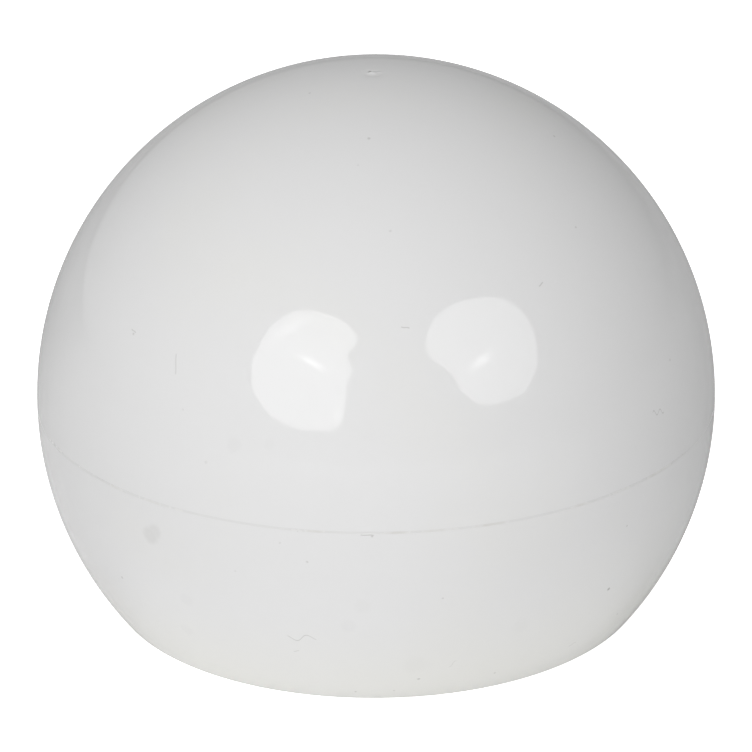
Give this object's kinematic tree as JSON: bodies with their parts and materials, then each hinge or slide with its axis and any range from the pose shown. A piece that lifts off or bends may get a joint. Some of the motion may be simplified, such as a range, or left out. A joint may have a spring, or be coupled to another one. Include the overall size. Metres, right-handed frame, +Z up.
{
  "type": "fence post cap",
  "caption": "White ball-shaped cap for the top of a round fence post, made of two bonded shells around a cup-shaped socket with crush ribs.",
  "frame": {"origin": "on the ball's axis, in the plane of the bottom rim", "axes": "+Z up along the ball's axis, away from the post; -Y is the front"},
  "size_m": [0.084, 0.084, 0.0681],
  "materials": {
    "shell": "gloss white, moulded",
    "socket": "satin natural white, moulded",
    "cement": "set cement, slightly yellowed"
  },
  "bodies": {
    "root": {"upper_shell": "shell", "lower_shell": "shell", "post_socket": "socket", "seam_cement": "cement"}
  },
  "joints": []
}
